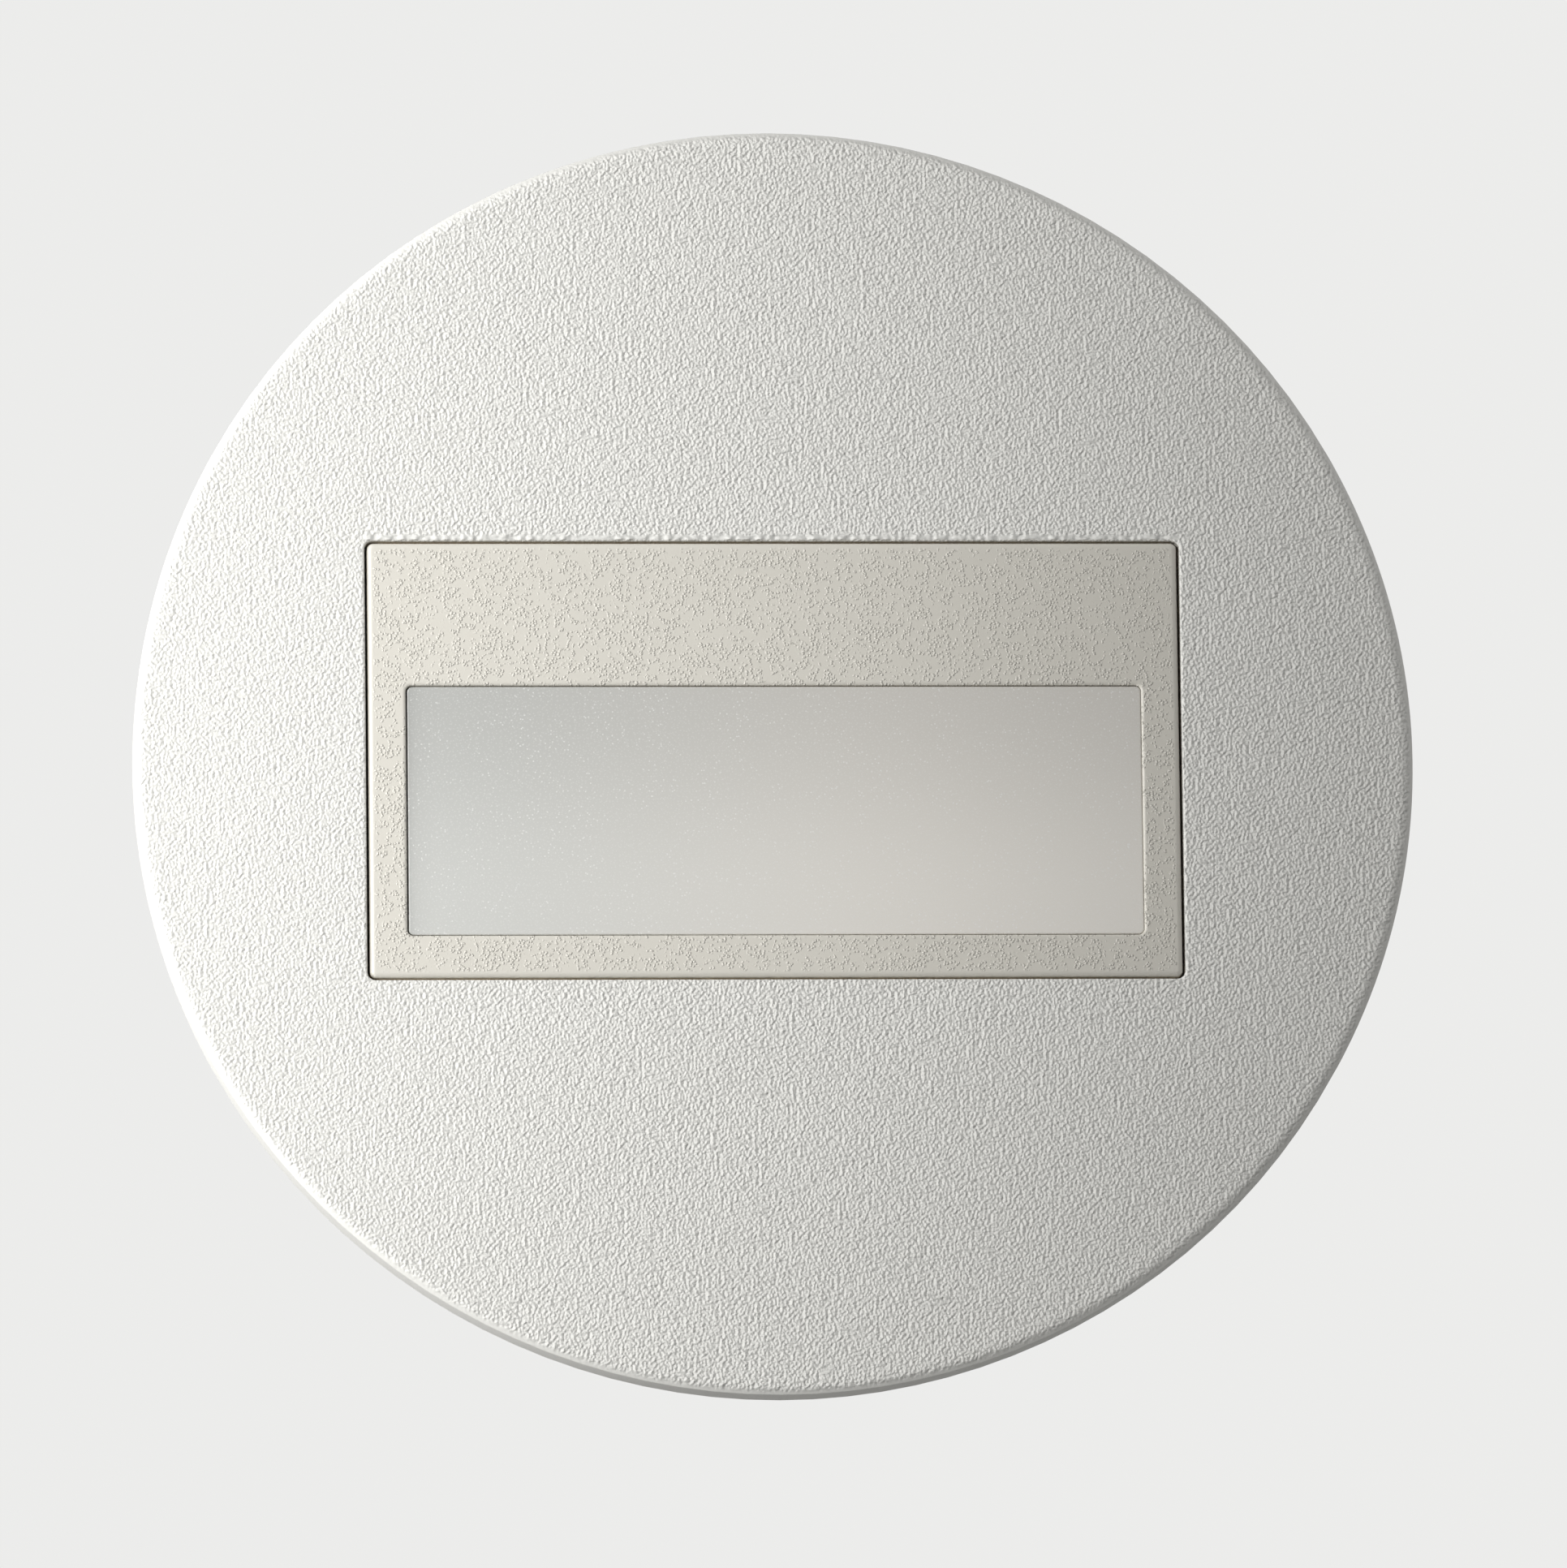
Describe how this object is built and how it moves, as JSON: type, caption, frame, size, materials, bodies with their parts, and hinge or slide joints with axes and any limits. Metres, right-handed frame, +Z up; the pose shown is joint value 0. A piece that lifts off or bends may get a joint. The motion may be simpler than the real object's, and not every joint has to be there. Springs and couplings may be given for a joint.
{
  "type": "recessed step light",
  "caption": "Round flush step light: pull-off disc cover around a rectangular frosted window, lamp can with spreader claws behind it.",
  "frame": {"origin": "midway between the two box screws, on the mounting frame's back face, which lies on the wall", "axes": "+Z up, -Y out of the wall towards the room, +X to the right as seen from the room"},
  "size_m": [0.08, 0.0334, 0.08],
  "materials": {
    "cover_coating": "matt wrinkled powder coat",
    "panel_plastic": "satin moulded with fine raised specks",
    "frosted_lens": "satin frosted, translucent",
    "zinc_steel": "zinc plated",
    "spring_steel": "rolled",
    "screw_steel": "zinc plated",
    "aluminium": "extruded",
    "brass": "plain",
    "foam": "closed-cell foam",
    "silicone": "matt",
    "black_rubber": "matt",
    "housing_plastic": "fine moulded texture",
    "white_plastic": "satin",
    "board_white": "white solder resist",
    "board_green": "satin solder resist",
    "led_phosphor": "satin",
    "ferrite": "matt",
    "capacitor_sleeve": "gloss sleeve",
    "capacitor_box": "gloss",
    "resistor_body": "matt lacquer"
  },
  "bodies": {
    "lamp": {"mounting_frame": "zinc_steel", "frame_screws": "screw_steel", "light_panel": "panel_plastic", "lens": "frosted_lens", "reflector": "white_plastic", "led_board": "board_white", "leds": "led_phosphor", "heat_sink": "aluminium", "board_screws": "screw_steel", "panel_seal": "silicone", "housing": "housing_plastic", "link_pins": "brass", "driver_board": "board_green", "transformer": "ferrite", "electrolytic_capacitor": "capacitor_sleeve", "film_capacitor": "capacitor_box", "bridge_rectifier": "ferrite", "fuse_resistor": "resistor_body", "driver_chip": "ferrite", "terminal_block": "white_plastic", "terminal_screws": "brass", "rear_cap": "housing_plastic", "rear_cap_screws": "screw_steel", "cable_grommet": "black_rubber", "claw_pin_top": "screw_steel", "claw_pin_bottom": "screw_steel"},
    "cover": {"cover_plate": "cover_coating", "cover_springs": "spring_steel", "wall_seal": "foam"},
    "claw_top": {"claw_top": "zinc_steel"},
    "claw_bottom": {"claw_bottom": "zinc_steel"},
    "claw_screw_top": {"claw_screw_top": "screw_steel"},
    "claw_screw_bottom": {"claw_screw_bottom": "screw_steel"}
  },
  "joints": [
    {"name": "cover_pull", "type": "slide", "parent": "lamp", "child": "cover", "axis": [0, -1, 0], "range_m": [0, 0.03]},
    {"name": "claw_top_swing", "type": "hinge", "parent": "lamp", "child": "claw_top", "pos_m": [0, 0.022, 0.0264], "axis": [-1, 0, 0], "range_deg": [0, 20]},
    {"name": "claw_bottom_swing", "type": "hinge", "parent": "lamp", "child": "claw_bottom", "pos_m": [0, 0.022, -0.0264], "axis": [1, 0, 0], "range_deg": [0, 20]},
    {"name": "claw_screw_top_turn", "type": "hinge", "parent": "lamp", "child": "claw_screw_top", "pos_m": [0, 0, 0.022], "axis": [0, 1, 0], "range_deg": [0, 1084]},
    {"name": "claw_screw_bottom_turn", "type": "hinge", "parent": "lamp", "child": "claw_screw_bottom", "pos_m": [0, 0, -0.022], "axis": [0, 1, 0], "range_deg": [0, 1084]}
  ],
  "couplings": [
    {"joint": "claw_screw_top_turn", "follows": "claw_top_swing", "ratio": 54.18},
    {"joint": "claw_screw_bottom_turn", "follows": "claw_bottom_swing", "ratio": 54.18}
  ]
}
